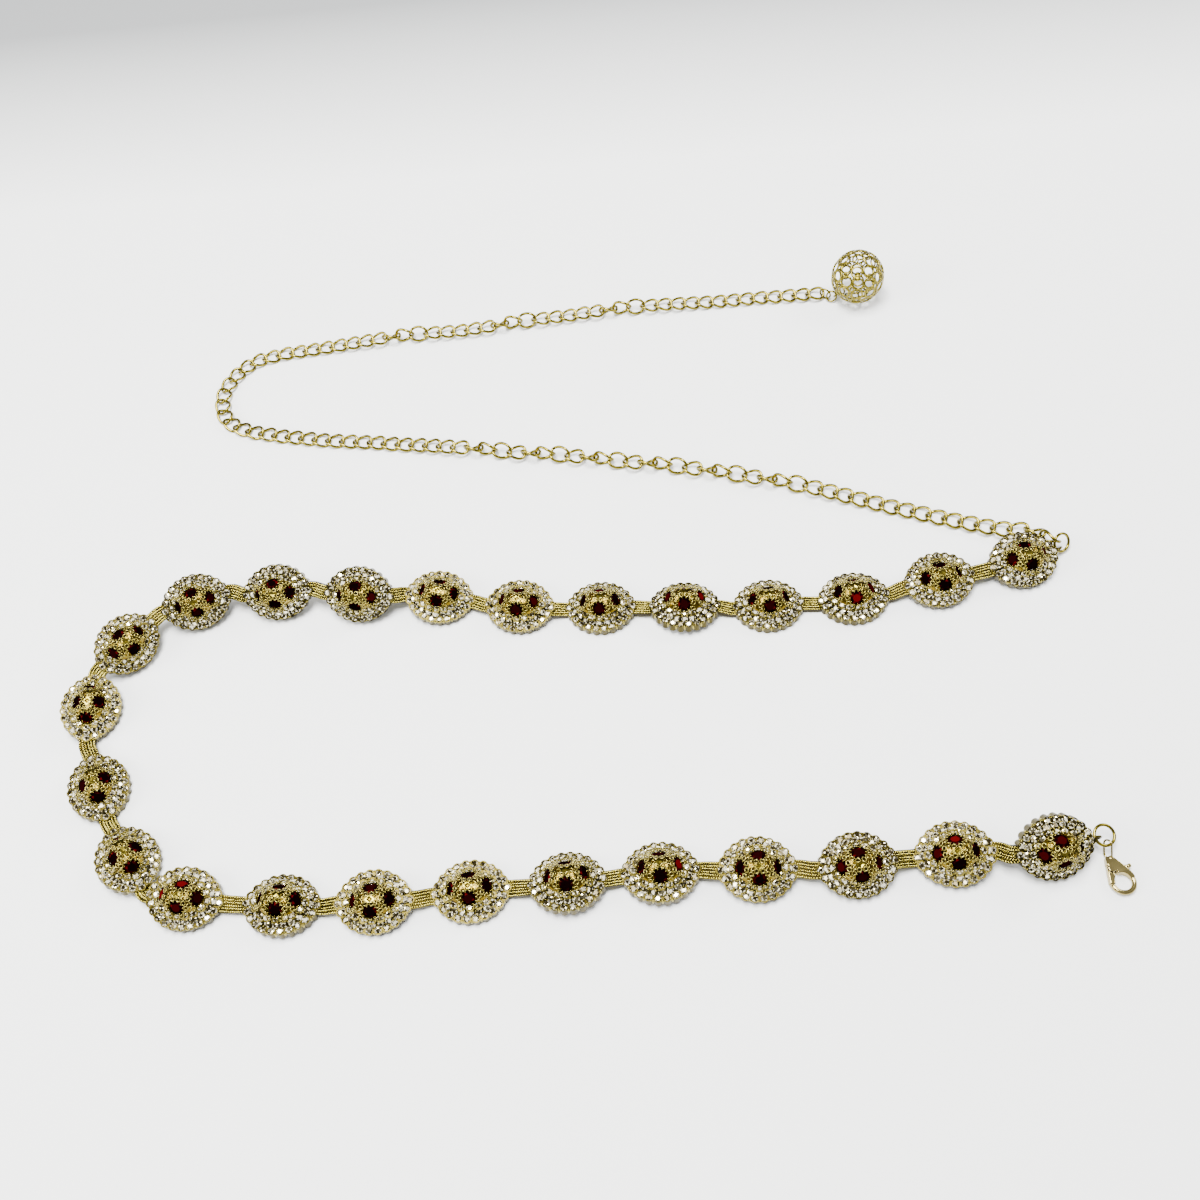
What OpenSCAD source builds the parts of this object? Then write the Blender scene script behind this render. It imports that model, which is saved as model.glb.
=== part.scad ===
// Waist chain: twenty-five domed medallions on a woven strap, closed by a clasp, with a long
// curb chain and a pierced ball as its free end. It lies on the plane z = 0, in millimetres.

/* [Medallions] */
// Length of a medallion along the strap, over the collets
medallion_l = 22; // [20:0.1:24]
// Width of a medallion across the strap, over the collets
medallion_w = 17.6; // [16:0.1:19]
// Height of the outer step with its collets
step_h = 2.4; // [2.2:0.1:3]
// Height of the inner step with its collets
inner_step_h = 4.3; // [3.8:0.1:4.6]
// Height of the dome
dome_h = 7.4; // [6.8:0.1:7.8]
// Width of the dome across the strap
dome_w = 8.8; // [8.2:0.1:9.2]
// Length of the dome along the strap
dome_l = 12.4; // [11.8:0.1:13]
// Diameter of an outer collet
outer_collet_d = 2.4; // [2:0.05:2.6]
// Diameter of an inner collet
inner_collet_d = 2.24; // [1.9:0.05:2.4]
// Wall of the small collets
collet_wall = 0.3; // [0.2:0.05:0.4]
// Depth of the seats in the small collets
collet_depth = 0.4; // [0.2:0.05:0.6]

/* [Garnets] */
// Girdle diameter of a garnet
garnet_d = 4.1; // [3.6:0.05:4.4]
// Height of a garnet from its point to its table
garnet_h = 1.7; // [1.2:0.05:1.9]
// Diameter of a garnet's table
garnet_table_d = 2.4; // [1.6:0.05:3]
// Wall of a garnet's cup
cup_wall = 0.22; // [0.15:0.01:0.35]
// Distance of the end cups from the middle of the dome
cup_out_l = 4.85; // [4.6:0.05:5.2]
// Distance of the side cups from the middle of the dome
cup_out_w = 3.05; // [2.9:0.05:3.4]
// Outward tilt of the end cups
cup_tilt_l = 52; // [46:1:58]
// Outward tilt of the side cups
cup_tilt_w = 44; // [38:1:50]

/* [Strap] */
// Width of the woven strap
strap_w = 4.8; // [4:0.1:5.2]
// Thickness of the woven strap
strap_t = 1.2; // [0.8:0.05:1.4]
// Free strap between two medallions
strap_gap = 3.7; // [3.4:0.1:5]
// Clearance of the strap under a medallion
strap_play = 0.25; // [0.2:0.05:0.35]

/* [Curb chain] */
// Length of a curb link over its wire
link_l = 7.1; // [6.9:0.05:7.4]
// Width of a curb link over its wire
link_w = 5.7; // [5.5:0.05:6]
// Thickness of the link wire
link_wire = 0.86; // [0.75:0.01:0.95]
// Rise of a link's twisted sides above and below its middle
link_twist = 0.75; // [0.65:0.01:0.85]
// Pitch of the curb links
link_pitch = 4.88; // [4.7:0.02:5]

/* [Rings and clasp] */
// Outer diameter of the jump rings
ring_d = 6.3; // [6:0.1:6.8]
// Wire of the jump rings
ring_wire = 0.85; // [0.7:0.05:0.95]
// Outer diameter of the loops on the first and last medallion
end_loop_d = 3.5; // [3.3:0.1:3.8]
// Wire of those loops
end_loop_wire = 0.65; // [0.5:0.05:0.7]
// Outer diameter of the clasp's hook
hook_d = 7; // [6.6:0.1:7.4]
// Wire of the clasp's hook
hook_wire = 1.3; // [1.1:0.05:1.4]
// Length of the clasp from its neck to the middle of the hook
clasp_body_l = 6.9; // [6.6:0.1:7.4]
// Thickness of the clasp's body
clasp_t = 2.4; // [2.2:0.1:2.8]
// Width of the clasp's neck
neck_w = 1.7; // [1.5:0.1:1.9]
// Length of the clasp's eye
eye_l = 5.4; // [5.2:0.1:5.8]
// Width of the clasp's eye
eye_w = 2.8; // [2.7:0.05:3.1]
// Wire of the clasp's eye
eye_wire = 0.55; // [0.45:0.05:0.6]
// Distance of the lever's hinge from the neck along the clasp
hinge_along = 2.9; // [2.7:0.1:3.1]
// Distance of the lever's hinge from the middle line of the clasp
hinge_aside = 0.9; // [0.8:0.05:1.1]
// Reach of the lever's thumb tab from the middle line of the clasp
tab_reach = 4.3; // [4:0.1:4.6]
// Diameter of the lever's hinge pin
pin_d = 0.8; // [0.6:0.05:0.9]
// Thickness of the lever inside the body
lever_t = 0.8; // [0.6:0.05:0.9]
// Play between lever and body
lever_play = 0.12; // [0.08:0.01:0.16]
// Opening angle of the lever
lever_open = 25; // [18:1:26]

/* [Filigree ball] */
// Outer diameter of the ball
ball_d = 18.4; // [17:0.1:19]
// Wall of the ball
ball_wall = 0.8; // [0.6:0.05:1]
// Diameter of the ball's openings
ball_hole_d = 3.1; // [2.6:0.05:3.2]
// Outer diameter of the ring at the ball
ball_ring_d = 4; // [3.8:0.1:4.4]
// Outer diameter of the ring at the end of the curb chain
end_ring_d = 4.5; // [4.4:0.05:4.7]
// Wire of both small rings
small_ring_wire = 0.6; // [0.5:0.05:0.65]
// Outer diameter of the loop on the ball
ball_loop_d = 2.3; // [2.2:0.05:2.6]
// Wire of the loop on the ball
ball_loop_wire = 0.5; // [0.4:0.05:0.55]

/* [Hidden] */
$fn = 48;
medallion_nodes = ["medallion_01", "medallion_02", "medallion_03", "medallion_04",
    "medallion_05", "medallion_06", "medallion_07", "medallion_08", "medallion_09",
    "medallion_10", "medallion_11", "medallion_12", "medallion_13", "medallion_14",
    "medallion_15", "medallion_16", "medallion_17", "medallion_18", "medallion_19",
    "medallion_20", "medallion_21", "medallion_22", "medallion_23", "medallion_24",
    "medallion_25"];

// How the medallions lie, one row each: x, y, heading of the strap, lean with the left edge
// up, nose up. Lengths are for a pitch of 25.7 and scale with the medallions.
X = 0;
Y = 1;
HEADING = 2;
LEAN = 3;
NOSE = 4;
LAY = [
    [137.5, -17, -172, -16, 0],
    [111.5, -19.5, -177, -13, -2],
    [85.5, -20.5, 178, 1, -1],
    [60, -18.5, 175, -1, 0],
    [35, -15, 171, 7, 0],
    [10, -10.5, 171, -2, -2],
    [-14.5, -6, 166, -8, 0],
    [-39, 1.5, 165, -9, 6],
    [-63, 5.5, 166, -40, 4],
    [-88.5, 11, 176, -39, 0],
    [-114.5, 12, -169, -37, 2],
    [-136, 0.5, -136, -31, -3],
    [-146, -19.5, -93, -13, -6],
    [-141.5, -46, -73, -5, -4],
    [-131, -70, -62, -10, -2],
    [-114, -83.5, -15, 9, -4],
    [-87.5, -89.5, -10, -4, -1],
    [-62, -92.5, -5, 11, -1],
    [-36, -93.5, -3, 2, 0],
    [-10, -95.5, -3, -8, 0],
    [15, -96.5, -4, -5, 0],
    [40.5, -99.5, -7, 13, -2],
    [66.5, -102.5, -1, 19, 0],
    [92.5, -103.5, -4, 12, 5],
    [117, -106, 2, 38, -4]];
MEDALLIONS = len(LAY);
plan_scale = (medallion_l + strap_gap) / 25.7;

// Route of the curb chain from the far ring to its end, by hand.
ROUTE = [[147.7, -11.2], [143.6, -6.8], [134, -3.5], [122, 2.5], [108, 9.5], [95, 16], [81, 23],
    [66, 29.5], [52, 35], [37, 40.5], [22, 45], [6, 50.5], [-9, 54.5], [-25, 59.5],
    [-41, 64.5], [-58, 69.5], [-74, 73.5], [-91, 79], [-100, 82.5], [-106, 86],
    [-109.5, 90], [-111, 95], [-111, 101], [-109, 107], [-105, 112.5], [-99, 116],
    [-91, 117.5], [-80, 117.5], [-64, 117], [-48, 116.5], [-32, 115.5], [-16, 114.5],
    [0, 114.5], [16, 114.5], [33, 113.5], [50, 112.5], [67, 111], [84, 109.5],
    [102, 107]];

// Stretches of links that turn on, an eighth of a turn each: first and last link.
FROM = 0;
TO = 1;
TWISTS = [[15, 39], [72, 76], [80, 84], [88, 92]];

base_t = step_h;
outer_n = 22;
inner_n = 16;
outer_a = (medallion_l - outer_collet_d) / 2;
outer_b = (medallion_w - outer_collet_d) / 2;
inner_a = outer_a - 2.6;
inner_b = outer_b - 2.5;
cup_d = garnet_d + 2 * cup_wall + 0.2;
channel_h = strap_t + 0.15 + 0.5;
strap_z = strap_t / 2 + 0.15;
channel_w = strap_w + 2 * strap_play;

function unit(v) = v / norm(v);
function along(p, q, t) = p + (q - p) * t;

// A pointed oval of half length a and half width b from two arcs.
function eye_r(a, b) = (a * a + b * b) / (2 * b);
function eye_turn(a, b, n, i) =
    let (half = asin(a / eye_r(a, b)))
    -half + 4 * half * (i % (n / 2)) / n;
function eye_spot(a, b, n, i) =
    let (side = i < n / 2 ? 1 : -1, r = eye_r(a, b), t = eye_turn(a, b, n, i))
    [side * r * sin(t), side * (r * cos(t) + b - r)];

module eye(a, b) {
    intersection() {
        translate([0, b - eye_r(a, b)]) circle(eye_r(a, b), $fn = 120);
        translate([0, eye_r(a, b) - b]) circle(eye_r(a, b), $fn = 120);
    }
}

module spots(a, b, n, d) {
    for (i = [0 : n - 1]) {
        translate(eye_spot(a, b, n, i)) circle(d = d, $fn = 24);
    }
}

module step(a, b, n, d, h) {
    linear_extrude(h) {
        eye(a, b);
        spots(a, b, n, d);
    }
}

module seats(a, b, n, d, h) {
    translate([0, 0, h - collet_depth]) linear_extrude(1) spots(a, b, n, d - 2 * collet_wall);
}

module dome() {
    r = dome_w / 2;
    l = dome_l - dome_w;
    intersection() {
        translate([0, 0, dome_h - r]) {
            translate([-l / 2, 0, 0]) rotate([0, 90, 0]) cylinder(r = r, h = l);
            translate([l / 2, 0, 0]) rotate([0, 0, -90]) rotate_extrude(angle = 180) half_disc(r);
            translate([-l / 2, 0, 0]) rotate([0, 0, 90]) rotate_extrude(angle = 180) half_disc(r);
        }
        translate([-dome_l, -dome_w, 1]) cube([2 * dome_l, 2 * dome_w, dome_h]);
    }
}

module half_disc(r) {
    intersection() {
        circle(r, $fn = 64);
        translate([0, -r]) square([r, 2 * r]);
    }
}

// The four cup places on a dome: turn, distance out, height, tilt.
TURN = 0;
OUT = 1;
HEIGHT = 2;
TILT = 3;
CUPS = [
    [0, cup_out_l, dome_h - 1.4, cup_tilt_l],
    [90, cup_out_w, dome_h - 1, cup_tilt_w],
    [180, cup_out_l, dome_h - 1.4, cup_tilt_l],
    [270, cup_out_w, dome_h - 1, cup_tilt_w]];

module at_cups() {
    for (c = CUPS) {
        rotate([0, 0, c[TURN]]) translate([c[OUT], 0, c[HEIGHT]]) rotate([0, c[TILT], 0]) children();
    }
}

module medallion(first, last) {
    difference() {
        union() {
            step(outer_a, outer_b, outer_n, outer_collet_d, step_h);
            step(inner_a, inner_b, inner_n, inner_collet_d, inner_step_h);
            dome();
            at_cups() translate([0, 0, -2.2]) cylinder(d = cup_d, h = 2.2);
        }
        seats(outer_a, outer_b, outer_n, outer_collet_d, step_h);
        at_cups() translate([0, 0, -garnet_h]) cylinder(d = cup_d - 2 * cup_wall, h = garnet_h + 1);
        channel(first ? strap_tip + 0.25 : medallion_l, last ? strap_tip + 0.25 : medallion_l);
    }
}

// The channel that the strap runs in, open below, with a closed tip on the end medallions.
module channel(back, front) {
    translate([-back, -channel_w / 2, -1]) cube([back + front, channel_w, channel_h + 1]);
}

// Height of the underside's middle above the floor, so that its lowest collet rests on it.
function low_edge(lean, nose) =
    max([for (i = [0 : outer_n - 1])
        let (p = eye_spot(outer_a, outer_b, outer_n, i))
        -p[0] * sin(nose) - p[1] * sin(lean) * cos(nose)])
    + outer_collet_d / 2 * sqrt(1 - pow(cos(lean) * cos(nose), 2));

module lay(k) {
    p = LAY[k];
    translate([p[X] * plan_scale, p[Y] * plan_scale, low_edge(p[LEAN], p[NOSE])])
    rotate([0, 0, p[HEADING]]) rotate([p[LEAN], 0, 0]) rotate([0, -p[NOSE], 0]) children();
}

// The same place as functions: a turned direction, and a point of medallion k.
function turned(k, v) =
    let (p = LAY[k], n = p[NOSE], l = p[LEAN], h = p[HEADING],
         a = [v[0] * cos(n) - v[2] * sin(n), v[1], v[0] * sin(n) + v[2] * cos(n)],
         b = [a[0], a[1] * cos(l) - a[2] * sin(l), a[1] * sin(l) + a[2] * cos(l)])
    [b[0] * cos(h) - b[1] * sin(h), b[0] * sin(h) + b[1] * cos(h), b[2]];
function placed(k, v) =
    let (p = LAY[k])
    turned(k, v) + [p[X] * plan_scale, p[Y] * plan_scale, low_edge(p[LEAN], p[NOSE])];

// Loops soldered to the outer tips: place in the medallion's frame, turn and tilt.
FIRST_LOOP = [-medallion_l / 2 - 0.85, -0.5, -0.15];
FIRST_LOOP_LIE = [-68, 81];
LAST_LOOP = [medallion_l / 2 + 0.9, -0.55, 0];
LAST_LOOP_LIE = [88, 121];

module loop(d, wire) {
    rotate_extrude() translate([(d - wire) / 2, 0]) circle(d = wire, $fn = 24);
}

module first_medallion() {
    medallion(true, false);
    translate(FIRST_LOOP) rotate([0, 0, FIRST_LOOP_LIE[0]]) rotate([0, FIRST_LOOP_LIE[1], 0])
        loop(end_loop_d, end_loop_wire);
}

module last_medallion() {
    medallion(false, true);
    translate(LAST_LOOP) rotate([0, 0, LAST_LOOP_LIE[0]]) rotate([0, LAST_LOOP_LIE[1], 0])
        loop(end_loop_d, end_loop_wire);
}

// Cut stones: a table, a crown and a pointed pavilion with ten sides, all in one mesh.
GEM_SIDES = 10;
GEM_STEP = 2 * GEM_SIDES + 1;
function gem(k, c) =
    let (table_z = 0.1, girdle_z = table_z - garnet_h * 0.35, tip_z = table_z + 0.1 - garnet_h)
    [for (ring = [[table_z, garnet_table_d], [girdle_z, garnet_d]], i = [0 : GEM_SIDES - 1])
        gem_spot(k, c, [ring[1] / 2 * cos(i * 360 / GEM_SIDES), ring[1] / 2 * sin(i * 360 / GEM_SIDES),
            ring[0]]),
     gem_spot(k, c, [0, 0, tip_z])];
function gem_spot(k, c, v) =
    let (t = c[TILT], a = c[TURN],
         w = [v[0] * cos(t) + v[2] * sin(t) + c[OUT], v[1], -v[0] * sin(t) + v[2] * cos(t) + c[HEIGHT]])
    placed(k, [w[0] * cos(a) - w[1] * sin(a), w[0] * sin(a) + w[1] * cos(a), w[2]]);
function gem_faces(s) = let (n = GEM_SIDES) concat(
    [[for (i = [n - 1 : -1 : 0]) s + i]],
    [for (i = [0 : n - 1]) [s + i, s + (i + 1) % n, s + n + (i + 1) % n, s + n + i]],
    [for (i = [0 : n - 1]) [s + n + i, s + n + (i + 1) % n, s + 2 * n]]);

module garnets(first, last) {
    polyhedron(
        [for (k = [first : last], c = CUPS) each gem(k, c)],
        [for (j = [0 : 4 * (last - first + 1) - 1]) each gem_faces(j * GEM_STEP)]);
}

// The strap: two cross-sections under each medallion and three in each gap.
strap_hold = medallion_l / 2 - 0.8;
strap_tip = strap_hold - 1;
function strap_end(k, side) =
    placed(k, [side * ((k == 0 && side < 0) || (k == MEDALLIONS - 1 && side > 0) ? strap_tip : strap_hold), 0, strap_z]);
function bend(p, q, u, v, t) =
    let (d = norm(q - p), a = 2 * t * t * t - 3 * t * t + 1, b = t * t * t - 2 * t * t + t,
         c = 3 * t * t - 2 * t * t * t, e = t * t * t - t * t)
    a * p + b * d * u + c * q + e * d * v;
function strap_mid(k, t) =
    bend(strap_end(k, 1), strap_end(k + 1, -1), turned(k, [1, 0, 0]), turned(k + 1, [1, 0, 0]), t);
function strap_cut(p, dir, up) =
    let (side = unit(cross(up, dir)), top = unit(cross(dir, side)))
    [for (s = [[-1, -1], [1, -1], [1, 1], [-1, 1]]) p + side * s[0] * strap_w / 2 + top * s[1] * strap_t / 2];
STRAP_CUTS = [for (k = [0 : MEDALLIONS - 1]) each concat(
    [strap_cut(strap_end(k, -1), turned(k, [1, 0, 0]), turned(k, [0, 0, 1]))],
    [strap_cut(strap_end(k, 1), turned(k, [1, 0, 0]), turned(k, [0, 0, 1]))],
    k == MEDALLIONS - 1 ? [] : [for (t = [0.25, 0.5, 0.75])
        strap_cut(strap_mid(k, t), unit(strap_mid(k, t + 0.02) - strap_mid(k, t - 0.02)),
            unit(along(turned(k, [0, 0, 1]), turned(k + 1, [0, 0, 1]), t)))])];

module woven_strap() {
    n = len(STRAP_CUTS);
    polyhedron([for (c = STRAP_CUTS) each c], concat(
        [[1, 2, 3], [0, 1, 3]],
        [for (i = [0 : n - 2], j = [0 : 3]) each
            let (a = 4 * i + j, b = 4 * i + (j + 1) % 4)
            [[b + 4, b, a], [a + 4, b + 4, a]]],
        [[4 * n - 2, 4 * n - 3, 4 * n - 4], [4 * n - 1, 4 * n - 2, 4 * n - 4]]));
}

// The curb chain: links are set out along the route by its length.
STEPS = [for (i = [0 : len(ROUTE) - 2]) norm(ROUTE[i + 1] - ROUTE[i]) * plan_scale];
function run(i) = i == 0 ? 0 : run(i - 1) + STEPS[i - 1];
RUNS = [for (i = [0 : len(ROUTE) - 1]) run(i)];
route_l = RUNS[len(ROUTE) - 1];
LINKS = floor(route_l / link_pitch) + 1;
link_step = route_l / (LINKS - 1);
function stretch_of(s) = max([for (i = [0 : len(STEPS) - 1]) if (RUNS[i] <= s + 0.001) i]);
function spot(s) =
    let (i = stretch_of(s))
    along(ROUTE[i], ROUTE[i + 1], (s - RUNS[i]) / STEPS[i]) * plan_scale;
function eighths(i) = len([for (w = TWISTS, j = [w[FROM] : w[TO]]) if (j > w[FROM] && j <= i) 1]);
function link_roll(i) = i == 0 ? 75 : i == 1 ? 40 : -45 * eighths(i);
function own_height(i) = let (q = link_roll(i))
    max([for (t = [0 : 10 : 350]) (link_w - link_wire) / 2 * sin(t) * sin(q)
        + link_twist * sin(2 * t) * cos(q)]) + link_wire / 2;
OWN = [for (i = [0 : LINKS - 1]) own_height(i)];
function held_height(i) = max(4.2 - 0.8 * i, end_ring_d * 0.4 - 0.2 * (LINKS - 1 - i));
function link_height(i) = max(held_height(i),
    max([for (j = [max(0, i - 6) : min(LINKS - 1, i + 6)]) OWN[j] - 0.25 * abs(i - j)]));
function link_middle(i) =
    let (p = spot(min(route_l, max(0, i * link_step))))
    [p[0], p[1], link_height(min(LINKS - 1, max(0, i)))];
MIDDLES = [for (i = [0 : LINKS - 1]) link_middle(i)];
function link_dir(i) = unit(MIDDLES[min(LINKS - 1, i + 1)] - MIDDLES[max(0, i - 1)]);

LINK_SIDES = 10;
WIRE_SIDES = 5;
LINK_STEP = LINK_SIDES * WIRE_SIDES;
function bend_spot(t) =
    [(link_l - link_wire) / 2 * cos(t), (link_w - link_wire) / 2 * sin(t), link_twist * sin(2 * t)];
function bend_dir(t) =
    unit([-(link_l - link_wire) / 2 * sin(t), (link_w - link_wire) / 2 * cos(t), 2 * link_twist * cos(2 * t)]);
LINK_SHAPE = [for (i = [0 : LINK_SIDES - 1])
    let (t = (i + 0.5) * 360 / LINK_SIDES, d = bend_dir(t), out = unit(cross(d, [0, 0, 1])), up = cross(out, d))
    for (j = [0 : WIRE_SIDES - 1])
        bend_spot(t) + link_wire / 2 * (out * cos(j * 360 / WIRE_SIDES) + up * sin(j * 360 / WIRE_SIDES))];
function link_points(i) =
    let (m = MIDDLES[i], d = link_dir(i), left = unit(cross([0, 0, 1], d)), up = cross(d, left),
         q = link_roll(i), y = left * cos(q) + up * sin(q), z = up * cos(q) - left * sin(q))
    [for (p = LINK_SHAPE) m + d * p[0] + y * p[1] + z * p[2]];
function link_faces(s) = [for (i = [0 : LINK_SIDES - 1], j = [0 : WIRE_SIDES - 1]) each
    let (a = s + i * WIRE_SIDES + j, b = s + i * WIRE_SIDES + (j + 1) % WIRE_SIDES,
         c = s + ((i + 1) % LINK_SIDES) * WIRE_SIDES + j,
         d = s + ((i + 1) % LINK_SIDES) * WIRE_SIDES + (j + 1) % WIRE_SIDES)
    [[a, d, c], [a, b, d]]];

module links(first, last) {
    polyhedron(
        [for (i = [first : last]) each link_points(i)],
        [for (i = [0 : last - first]) each link_faces(i * LINK_STEP)]);
}

// Rings: each passes through the point "at" of its neighbour; psi is where on the ring.
AZ = 0;
TIP = 1;
PSI = 2;
FAR_LIE = [-62, 50, -62];
NEAR_LIE = [-64, 17, -106];
BALL_RING_LIE = [-115, 48, 116];
module hung(at, lie, d, wire) {
    translate(at) rotate([0, 0, lie[AZ]]) rotate([0, lie[TIP], 0]) rotate([0, 0, lie[PSI]])
        translate([-(d - wire) / 2, 0, 0]) loop(d, wire);
}
function tipped(lie, v) =
    let (t = lie[TIP], a = lie[AZ], x = v[0] * cos(t) + v[2] * sin(t), z = -v[0] * sin(t) + v[2] * cos(t))
    [x * cos(a) - v[1] * sin(a), x * sin(a) + v[1] * cos(a), z];
function on_ring(at, lie, d, wire, phi) =
    at + (d - wire) / 2 * tipped(lie, [cos(phi) - cos(lie[PSI]), sin(phi) - sin(lie[PSI]), 0]);
first_loop_at = placed(0, FIRST_LOOP);
last_loop_at = placed(MEDALLIONS - 1, LAST_LOOP);

module far_jump_ring() {
    hung(first_loop_at, FAR_LIE, ring_d, ring_wire);
}

module near_jump_ring() {
    hung(last_loop_at, NEAR_LIE, ring_d, ring_wire);
}

// The clasp hangs by its eye on the near ring. Its own frame runs from the neck to the hook.
eye_on_ring = on_ring(last_loop_at, NEAR_LIE, ring_d, ring_wire, -21);
EYE_TURN = 84;
EYE_RISE = 39;
EYE_ROLL = -52;
eye_dir = [cos(EYE_TURN) * cos(EYE_RISE), sin(EYE_TURN) * cos(EYE_RISE), sin(EYE_RISE)];
eye_at = eye_on_ring - 0.95 * eye_dir;
neck_at = eye_at - (eye_l / 2 - 0.25) * eye_dir;
CLASP_TURN = -77;
hook_r = hook_d / 2;
neck_r = neck_w / 2;
opening_r = hook_r - hook_wire;
hinge = [hinge_along, -hinge_aside];
gate_edge = -6;
gate_back = [1.6, -1.7];
split_r = norm([clasp_body_l - 0.35 - hinge_along, hinge_aside - hook_r + hook_wire / 2]);
arm_turn = 79;
slot_t = lever_t + 2 * lever_play;
gate_t = clasp_t - 0.5;

module clasp_frame() {
    translate([neck_at[0], neck_at[1], clasp_t / 2]) rotate([0, 0, CLASP_TURN]) children();
}

module clasp_eye() {
    r = (eye_w - eye_wire) / 2;
    h = eye_l / 2 - eye_w / 2;
    translate(eye_at) rotate([0, 0, EYE_TURN]) rotate([0, -EYE_RISE, 0]) rotate([EYE_ROLL, 0, 0]) {
        for (s = [0, 180]) rotate([0, 0, s]) {
            translate([h, 0, 0]) rotate([0, 0, -90]) rotate_extrude(angle = 180)
                translate([r, 0]) circle(d = eye_wire, $fn = 24);
            translate([-h, r, 0]) rotate([0, 90, 0]) cylinder(d = eye_wire, h = 2 * h);
        }
    }
}

// Outline of the clasp seen from above, a drop from the neck round the hook.
module drop(grow) {
    d = norm([clasp_body_l, neck_r]);
    t = atan(neck_r / clasp_body_l) + acos(hook_r / d);
    translate([clasp_body_l, 0]) circle(hook_r + grow, $fn = 96);
    polygon([[-0.3, -neck_r - grow], [-0.3, neck_r + grow],
        [clasp_body_l - (hook_r + grow) * cos(t), (hook_r + grow) * sin(t)],
        [clasp_body_l - (hook_r + grow) * cos(t), -(hook_r + grow) * sin(t)]]);
}

module opening() {
    translate([clasp_body_l, 0]) circle(opening_r, $fn = 64);
}

// The side that the lever closes, from the hinge to the split in the hook.
module gate_side(spread) {
    intersection() {
        translate(hinge) circle(split_r + spread, $fn = 96);
        polygon([hinge, hinge + 9 * [cos(gate_edge + spread * 80), sin(gate_edge + spread * 80)],
            [9, -9], [0, -9], gate_back + [-0.7 * spread, spread]]);
    }
}

module swung_gate() {
    for (a = [0 : 5 : lever_open]) translate(hinge) rotate(a) translate(-hinge) gate_side(lever_play);
}

module arm(play) {
    translate(hinge) rotate(arm_turn) translate([0, -0.45 - play])
        square([tab_reach + hinge_aside + play, 0.9 + 2 * play]);
}

module slot() {
    linear_extrude(slot_t, center = true) {
        translate(hinge) circle(1.15 + lever_play, $fn = 48);
        for (a = [0 : 5 : lever_open]) translate(hinge) rotate(a) translate(-hinge) arm(lever_play);
    }
}

// Side view of the body: thin at the neck, thick at the hinge, down to the wire at the hook.
module side_view() {
    rotate([90, 0, 0]) linear_extrude(4 * hook_r, center = true)
        polygon([[-0.3, -neck_r], [1.6, -clasp_t / 2], [4.6, -clasp_t / 2],
            [clasp_body_l, -hook_wire / 2], [clasp_body_l, hook_wire / 2], [4.6, clasp_t / 2],
            [1.6, clasp_t / 2], [-0.3, neck_r]]);
}

module clasp_body() {
    difference() {
        union() {
            difference() {
                union() {
                    intersection() {
                        linear_extrude(2 * clasp_t, center = true) drop(0);
                        side_view();
                    }
                    translate([clasp_body_l, 0, 0]) loop(2 * hook_r, hook_wire);
                }
                linear_extrude(2 * clasp_t, center = true) {
                    opening();
                    swung_gate();
                }
            }
            translate([hinge[0], hinge[1], 0]) cylinder(r = 1, h = clasp_t, center = true);
        }
        slot();
    }
    translate([hinge[0], hinge[1], 0]) cylinder(d = pin_d, h = clasp_t - 0.2, center = true);
}

module clasp_lever() {
    difference() {
        union() {
            linear_extrude(gate_t, center = true) difference() {
                intersection() {
                    drop(0);
                    gate_side(0);
                }
                opening();
                translate(hinge) circle(1 + lever_play, $fn = 48);
            }
            linear_extrude(lever_t, center = true) {
                translate(hinge) circle(1, $fn = 48);
                arm(0);
                difference() {
                    intersection() {
                        drop(0);
                        gate_side(0);
                        translate(hinge) circle(1.6, $fn = 48);
                    }
                    opening();
                }
            }
            translate(hinge) rotate(arm_turn) translate([tab_reach + hinge_aside - 0.55, 0, 0])
                cylinder(d = 1.1, h = gate_t - 0.3, center = true);
        }
        translate([hinge[0], hinge[1], 0]) cylinder(d = pin_d + lever_play, h = 2 * clasp_t, center = true);
    }
}

// The pierced ball rests on the plane and is joined low on its side.
JOIN_TURN = 184.7;
JOIN_DROP = 42.5;
join_dir = [cos(JOIN_TURN) * cos(JOIN_DROP), sin(JOIN_TURN) * cos(JOIN_DROP), -sin(JOIN_DROP)];
ball_r = ball_d / 2;
loop_out = ball_r + 0.55;
END_RING = [105.5, 105.7];
JOIN = [109.03, 104.01];
ball_at = [JOIN[0] * plan_scale - loop_out * join_dir[0], JOIN[1] * plan_scale - loop_out * join_dir[1], ball_r];
ball_loop_at = ball_at + loop_out * join_dir;

// Rows of openings round the ball: latitude and number, from half a step on.
LATITUDE = 0;
COUNT = 1;
ROWS = [[-52, 8], [-26.5, 12], [0, 12], [26.5, 12], [52, 8]];

module filigree_ball() {
    translate(ball_at) {
        difference() {
            sphere(ball_r);
            sphere(ball_r - ball_wall);
            for (w = ROWS, i = [0 : w[COUNT] - 1]) {
                rotate([0, 0, (i + 0.5) * 360 / w[COUNT]]) rotate([0, 90 - w[LATITUDE], 0])
                    translate([0, 0, ball_r - ball_wall / 2]) sphere(d = ball_hole_d);
            }
        }
    }
    translate(ball_loop_at) rotate([0, 0, 122]) rotate([0, 64, 0]) loop(ball_loop_d, ball_loop_wire);
}

module ball_ring() {
    hung(ball_loop_at, BALL_RING_LIE, ball_ring_d, small_ring_wire);
}

module chain_end_ring() {
    translate([END_RING[0] * plan_scale, END_RING[1] * plan_scale, end_ring_d / 2 + 0.02])
        rotate([0, 0, -40]) rotate([90, 0, 0]) loop(end_ring_d, small_ring_wire);
}

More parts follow.
